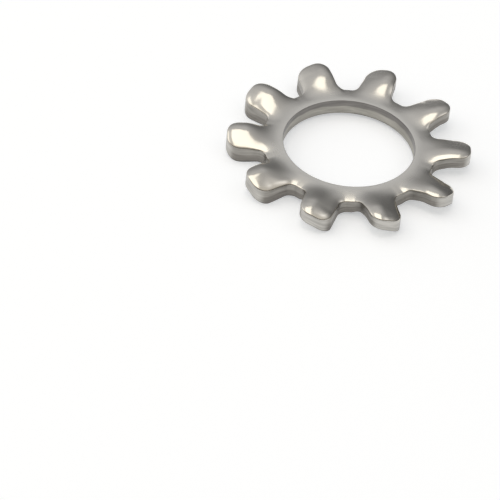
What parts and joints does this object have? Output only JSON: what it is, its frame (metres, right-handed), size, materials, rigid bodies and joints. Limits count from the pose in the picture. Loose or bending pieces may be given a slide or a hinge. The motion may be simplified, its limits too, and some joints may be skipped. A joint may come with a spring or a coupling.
{
  "type": "toothed lock washer",
  "caption": "Toothed lock washer: a flat steel ring with a plain bore and outward teeth, each turned about its own radius so that its corners bite.",
  "frame": {"origin": "on the bore's axis, at the height of the lowered tooth corners that the washer stands on", "axes": "+Z along the bore's axis, out of the side with rolled-over edges; +X along the middle of a tooth"},
  "size_m": [0.0098, 0.0096, 0.0011],
  "materials": {
    "spring_steel": "bright burnished stamping, satin on the ring and glossy on the teeth"
  },
  "bodies": {
    "root": {"lock_washer": "spring_steel"}
  },
  "joints": []
}
